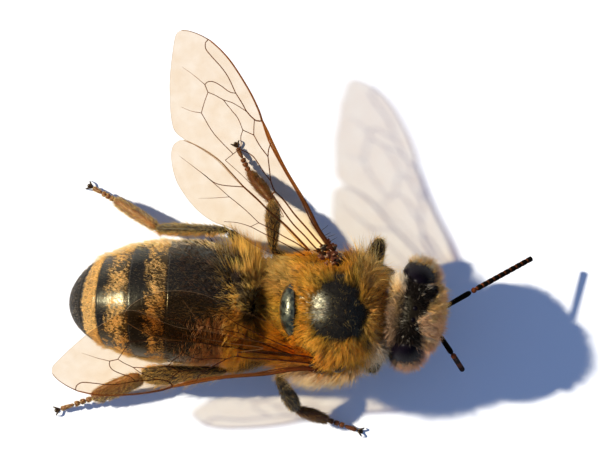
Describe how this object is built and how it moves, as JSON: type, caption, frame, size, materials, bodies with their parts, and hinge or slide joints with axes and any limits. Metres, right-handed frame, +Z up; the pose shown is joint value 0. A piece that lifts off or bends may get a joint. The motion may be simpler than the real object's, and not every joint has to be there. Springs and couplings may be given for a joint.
{
  "type": "honey bee",
  "caption": "Life-size worker honey bee standing on its feet, left wings spread and right wings folded over the abdomen, a still model.",
  "frame": {"origin": "on the floor under the middle of the bee's box", "axes": "+X forward along the body to the head, +Y to the bee's left, +Z up"},
  "size_m": [0.0164, 0.014, 0.0056],
  "materials": {
    "cuticle": "glossy dark brown shell",
    "hair": "golden brown hair",
    "eye": "dark, finely faceted",
    "horn": "reddish brown horn",
    "leg": "dark brown shell with short hair",
    "membrane": "clear, faintly amber membrane"
  },
  "bodies": {
    "root": {"head": "hair", "eye_left": "eye", "mandible_left": "horn", "eye_right": "eye", "mandible_right": "horn", "proboscis": "horn", "neck": "cuticle", "antenna_left_scape": "cuticle", "antenna_left_flagellum": "cuticle", "antenna_right_scape": "cuticle", "antenna_right_flagellum": "cuticle", "thorax": "hair", "scutellum": "cuticle", "propodeum": "hair", "tegula_left": "cuticle", "tegula_right": "cuticle", "petiole": "cuticle", "abdomen_segment_1": "hair", "abdomen_segment_2": "cuticle", "abdomen_segment_3": "cuticle", "abdomen_segment_4": "cuticle", "abdomen_segment_5": "cuticle", "abdomen_segment_6": "cuticle", "forewing_left": "membrane", "hindwing_left": "membrane", "forewing_right": "membrane", "hindwing_right": "membrane", "leg_front_left_coxa": "leg", "leg_front_left_femur": "leg", "leg_front_left_tibia": "leg", "leg_front_left_basitarsus": "leg", "leg_front_left_tarsus": "leg", "leg_front_right_coxa": "leg", "leg_front_right_femur": "leg", "leg_front_right_tibia": "leg", "leg_front_right_basitarsus": "leg", "leg_front_right_tarsus": "leg", "leg_middle_left_coxa": "leg", "leg_middle_left_femur": "leg", "leg_middle_left_tibia": "leg", "leg_middle_left_basitarsus": "leg", "leg_middle_left_tarsus": "leg", "leg_middle_right_coxa": "leg", "leg_middle_right_femur": "leg", "leg_middle_right_tibia": "leg", "leg_middle_right_basitarsus": "leg", "leg_middle_right_tarsus": "leg", "leg_hind_left_coxa": "leg", "leg_hind_left_femur": "leg", "leg_hind_left_tibia": "leg", "leg_hind_left_basitarsus": "leg", "leg_hind_left_tarsus": "leg", "leg_hind_right_coxa": "leg", "leg_hind_right_femur": "leg", "leg_hind_right_tibia": "leg", "leg_hind_right_basitarsus": "leg", "leg_hind_right_tarsus": "leg"}
  },
  "joints": []
}
